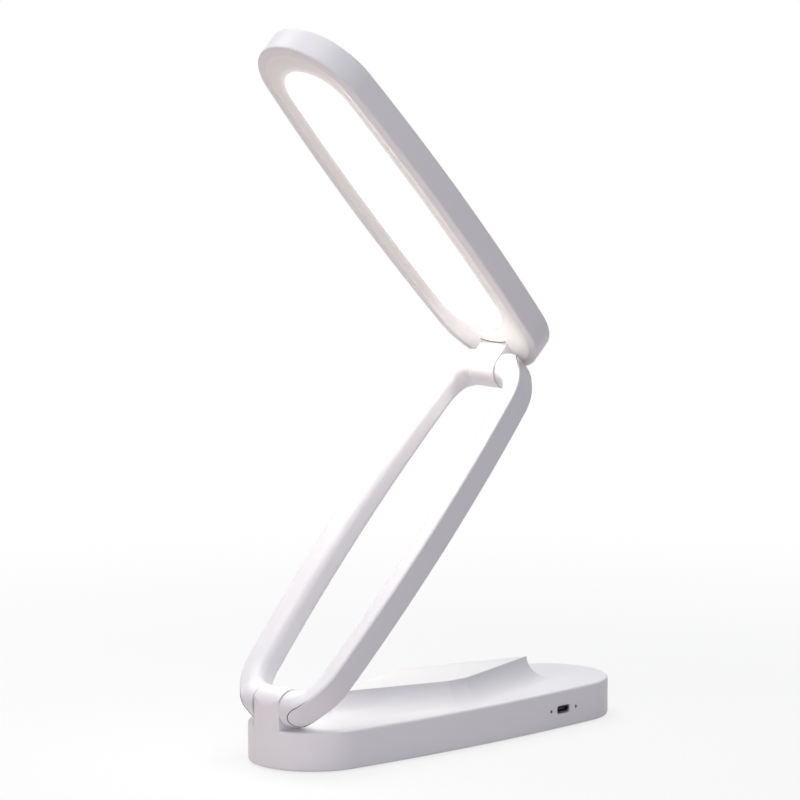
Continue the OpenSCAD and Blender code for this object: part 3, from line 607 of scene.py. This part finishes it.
# each loop is drawn in by t and lies y behind the port's front
sleeve = [rounded(PORT_WID - 2 * t, PORT_HIGH - 2 * t, 1.2 - t, port_y + y) for t, y in (
    (0.0, PORT_DEEP), (0.0, 0.12), (0.04, 0.03), (0.12, 0.0), (0.24, 0.0), (0.32, 0.05),
    (0.36, 0.15), (0.38, 0.6), (0.40, PORT_DEEP - 0.7))]
blade = [rounded(TONGUE_WID - 2 * t, TONGUE_HIGH - 2 * t, 0.12, port_y + y, 4) for t, y in (
    (0.1, 0.85), (0.03, 0.9), (0.0, 1.0), (0.0, PORT_DEEP - 0.8))]
for name, rings, material, slot, stands_for in (
        ("port_shell", sleeve, port_steel_painted_shade, "socket", "usb_socket"),
        ("port_tongue", blade, tongue_black, "tongue", "usb_tongue")):
    made = make(name, *capped(rings), "base", material, slot)
    made.data.set_sharp_from_angle(angle=SHARP)
    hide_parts(stands_for)

# ---------------------------------------------------------------- stage

def plane(name, size, z):
    """A square of the stage, in metres, at height z."""
    mesh = bpy.data.meshes.new(name)
    mesh.from_pydata([(x * size, y * size, z) for x, y in ((-1, -1), (1, -1), (1, 1), (-1, 1))], [],
                     [(0, 1, 2, 3)])
    made = bpy.data.objects.new(name, mesh)
    scene.collection.objects.link(made)
    return made


def seen_by(tree, *rays):
    """1 for the kinds of ray named, 0 for the others."""
    path = node(tree, "ShaderNodeLightPath")
    total = path.outputs[rays[0]]
    for ray in rays[1:]:
        total = node(tree, "ShaderNodeMath", links={0: total, 1: path.outputs[ray]},
                     operation="MAXIMUM").outputs["Value"]
    return total


# floor: near white to the camera, where it keeps the lamp's shadow, and a little darker to the
# light that it throws back on the lamp
floor = plane("floor", 12.0, -0.0002)
mat, tree, bsdf, out = new_material("floor_pale")
bsdf.inputs["Base Color"].default_value = (0.66, 0.60, 0.60, 1.0)
bsdf.inputs["Roughness"].default_value = 0.95
white = node(tree, "ShaderNodeBsdfDiffuse", {"Color": (0.92, 0.92, 0.92, 1.0)})
glow = node(tree, "ShaderNodeEmission", {"Color": (1.0, 1.0, 1.0, 1.0), "Strength": 1.0})
away = node(tree, "ShaderNodeVectorMath", links={0: coords(tree)},
            operation="LENGTH").outputs["Value"]
share = node(tree, "ShaderNodeMapRange",
             {"From Min": 0.16, "From Max": 0.55, "To Min": 0.78, "To Max": 1.0},
             {"Value": away}, interpolation_type="SMOOTHSTEP").outputs["Result"]
shown = node(tree, "ShaderNodeMixShader",
             links={"Fac": share, 1: white.outputs["BSDF"], 2: glow.outputs["Emission"]})
mixed = node(tree, "ShaderNodeMixShader",
             links={"Fac": seen_by(tree, "Is Camera Ray", "Is Glossy Ray"),
                    1: bsdf.outputs["BSDF"], 2: shown.outputs["Shader"]})
tree.links.new(mixed.outputs["Shader"], out.inputs["Surface"])
floor.data.materials.append(mat)

world = bpy.data.worlds.new("studio")
scene.world = world
world.use_nodes = True
tree = world.node_tree
tree.nodes.clear()
out = tree.nodes.new("ShaderNodeOutputWorld")
ambient = node(tree, "ShaderNodeBackground", {"Color": (0.95, 0.96, 1.06, 1.0), "Strength": 0.15})
white = node(tree, "ShaderNodeBackground", {"Color": (1.0, 1.0, 1.0, 1.0), "Strength": 1.0})
mixed = node(tree, "ShaderNodeMixShader",
             links={"Fac": seen_by(tree, "Is Camera Ray", "Is Glossy Ray", "Is Transmission Ray"),
                    1: ambient.outputs["Background"], 2: white.outputs["Background"]})
tree.links.new(mixed.outputs["Shader"], out.inputs["Surface"])


def lamp(name, place, power, colour):
    """A soft round light, 1.2 m across, that faces the part."""
    data = bpy.data.lights.new(name, "AREA")
    data.shape = "DISK"
    data.size = 1.2
    data.energy = power
    data.color = colour
    made = bpy.data.objects.new(name, data)
    made.location = place
    aim = Vector((0.0, 0.0, 0.1))
    made.rotation_euler = (aim - Vector(place)).to_track_quat("-Z", "Y").to_euler()
    scene.collection.objects.link(made)


lamp("overhead", (-0.30, -0.30, 1.65), 9.5, (0.92, 0.96, 1.0))
lamp("behind", (0.1, 0.8, 1.4), 10.0, (1.0, 1.0, 1.0))
lamp("left_fill", (-1.8, -0.4, 0.5), 6.2, (1.0, 0.82, 0.68))
lamp("front_fill", (-1.2, -1.3, 0.6), 5.0, (0.72, 0.80, 1.0))

scene.view_settings.view_transform = "Standard"
